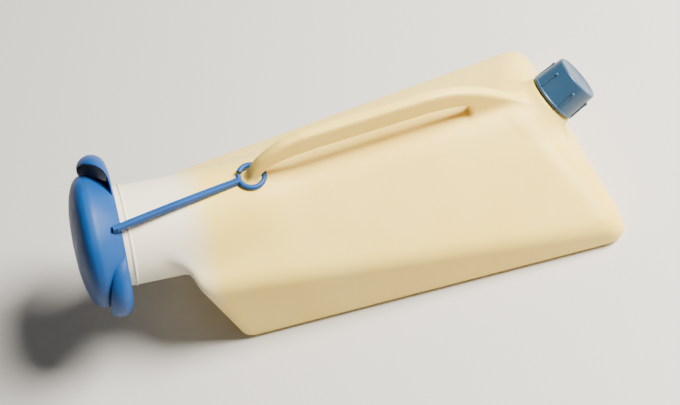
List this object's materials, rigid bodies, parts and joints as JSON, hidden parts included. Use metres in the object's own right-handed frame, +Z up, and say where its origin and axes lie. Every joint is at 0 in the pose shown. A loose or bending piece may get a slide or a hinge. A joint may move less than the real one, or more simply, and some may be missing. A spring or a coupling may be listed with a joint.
{
  "type": "portable urinal bottle",
  "caption": "Wedge-shaped plastic urine bottle with a tilted wide neck, a grip over its ridge, a tethered snap lid and a threaded drain cap.",
  "frame": {"origin": "middle of the whole object's length and width, on the surface that it stands on", "axes": "+X from the neck towards the drain cap, +Y across the bottle, +Z up"},
  "size_m": [0.3015, 0.1476, 0.1087],
  "materials": {
    "bottle": "satin blow-moulded polyethylene",
    "lid": "satin injection-moulded soft polyethylene",
    "cap": "satin injection-moulded polypropylene",
    "liner": "pressed polyethylene foam"
  },
  "bodies": {
    "bottle_body": {"bottle": "bottle", "lid_strap": "lid"},
    "lid_body": {"lid": "lid"},
    "liner_body": {"cap_liner": "liner"},
    "cap_body": {"screw_cap": "cap"}
  },
  "joints": [
    {"name": "lid_flip", "type": "hinge", "parent": "bottle_body", "child": "lid_body", "pos_m": [-0.11711, -0.0174, 0.09943], "axis": [0.1348, 0.866, 0.4815], "range_deg": [0, 120]},
    {"name": "cap_lift", "type": "slide", "parent": "bottle_body", "child": "liner_body", "axis": [0.848, 0, 0.5299], "range_m": [0, 0.00375]},
    {"name": "cap_turn", "type": "hinge", "parent": "liner_body", "child": "cap_body", "pos_m": [0.12835, 0, 0.05022], "axis": [0.848, 0, 0.5299], "range_deg": [0, 450]}
  ],
  "couplings": [
    {"joint": "cap_lift", "follows": "cap_turn", "m_per_rad": 0.00047746}
  ]
}
